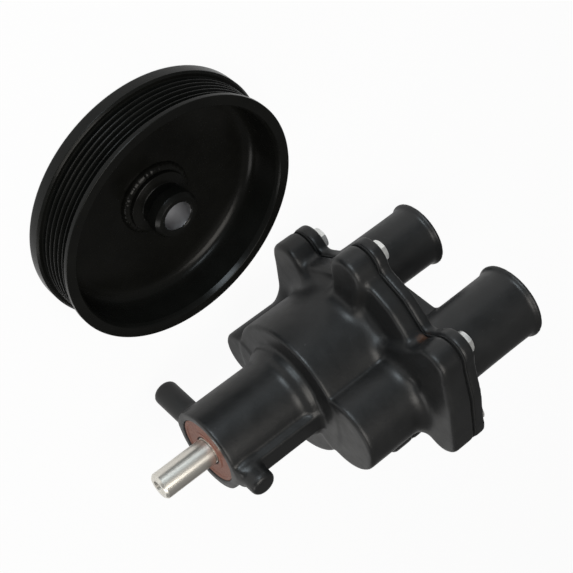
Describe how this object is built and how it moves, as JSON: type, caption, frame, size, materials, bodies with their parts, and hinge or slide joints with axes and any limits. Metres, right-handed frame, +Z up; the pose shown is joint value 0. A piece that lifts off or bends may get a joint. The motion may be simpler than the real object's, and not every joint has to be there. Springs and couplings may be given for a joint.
{
  "type": "flexible impeller pump",
  "caption": "Flexible impeller pump with a bearing nose, mounting ears, a bolted cover with hose ports, and a loose grooved belt pulley lying beside it.",
  "frame": {"origin": "middle of the bounding box, on the floor that the pump and the pulley stand on", "axes": "+X along the shaft towards its free end, +Y away from the pulley, +Z up"},
  "size_m": [0.2476, 0.3, 0.1559],
  "materials": {
    "casting_paint": "satin black paint over a sand casting",
    "gasket_paper": "black gasket sheet",
    "bright_steel": "bright stainless steel",
    "shaft_steel": "ground stainless steel",
    "cam_bronze": "machined bronze",
    "copper": "soft copper sealing washer",
    "impeller_rubber": "moulded black rubber",
    "bearing_steel": "ground bearing steel",
    "cage_brass": "stamped brass",
    "spring_steel": "oiled spring steel",
    "seal_rubber": "rust-red moulded seal rubber",
    "ceramic": "lapped white ceramic",
    "carbon": "lapped carbon",
    "pulley_paint": "gloss-satin black paint on turned steel"
  },
  "bodies": {
    "pump": {"housing": "casting_paint", "port_cover": "casting_paint", "cover_gasket": "gasket_paper", "cover_bolts": "bright_steel", "bolt_washers": "bright_steel", "wear_plate": "bright_steel", "cam": "cam_bronze", "cam_screw": "bright_steel", "cam_washer": "copper", "front_outer_ring": "bearing_steel", "rear_outer_ring": "bearing_steel", "retaining_ring": "spring_steel", "front_seal": "seal_rubber", "seal_seat": "ceramic"},
    "rotor": {"shaft": "shaft_steel", "front_inner_ring": "bearing_steel", "rear_inner_ring": "bearing_steel", "bearing_spacer": "spring_steel", "shaft_clip": "spring_steel", "slinger": "impeller_rubber", "seal_face": "carbon", "seal_spring": "spring_steel", "seal_cup": "bright_steel", "impeller_insert": "cam_bronze", "impeller": "impeller_rubber", "impeller_key": "spring_steel"},
    "front_ball_set": {"front_balls": "bearing_steel", "front_cage": "cage_brass"},
    "rear_ball_set": {"rear_balls": "bearing_steel", "rear_cage": "cage_brass"},
    "pulley": {"pulley_rim": "pulley_paint", "pulley_hub": "pulley_paint", "pulley_weld": "pulley_paint"}
  },
  "joints": [
    {"name": "shaft_spin", "type": "hinge", "parent": "pump", "child": "rotor", "pos_m": [0.08285, 0.07202, 0.06134], "axis": [1, 0, 0], "continuous": true, "deforming": ["impeller"]},
    {"name": "front_ball_spin", "type": "hinge", "parent": "pump", "child": "front_ball_set", "pos_m": [0.08285, 0.07202, 0.06134], "axis": [1, 0, 0], "continuous": true},
    {"name": "rear_ball_spin", "type": "hinge", "parent": "pump", "child": "rear_ball_set", "pos_m": [0.08285, 0.07202, 0.06134], "axis": [1, 0, 0], "continuous": true},
    {"name": "pulley_spin", "type": "hinge", "parent": "pump", "child": "pulley", "pos_m": [0.04935, -0.07558, 0], "axis": [0, 0, 1], "continuous": true}
  ],
  "couplings": [
    {"joint": "front_ball_spin", "follows": "shaft_spin", "ratio": 0.381},
    {"joint": "rear_ball_spin", "follows": "shaft_spin", "ratio": 0.381}
  ]
}
